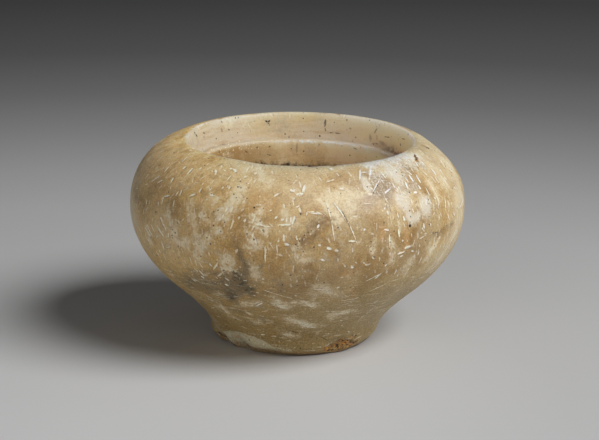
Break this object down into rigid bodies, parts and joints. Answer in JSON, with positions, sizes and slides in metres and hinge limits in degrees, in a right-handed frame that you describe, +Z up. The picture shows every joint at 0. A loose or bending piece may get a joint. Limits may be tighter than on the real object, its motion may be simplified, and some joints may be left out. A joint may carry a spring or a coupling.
{
  "type": "stone bowl",
  "caption": "Squat round bowl carved from one block of mottled alabaster, with a low foot, swollen belly, wide bevelled mouth and open hollow.",
  "frame": {"origin": "middle of the bowl's plan, on the surface that it stands on", "axes": "+Z up out of the mouth, -Y towards the side that the picture shows, +X to its right"},
  "size_m": [0.1052, 0.1052, 0.0649],
  "materials": {
    "alabaster": "worn, softly polished, mottled, tool marked"
  },
  "bodies": {
    "root": {"bowl": "alabaster"}
  },
  "joints": []
}
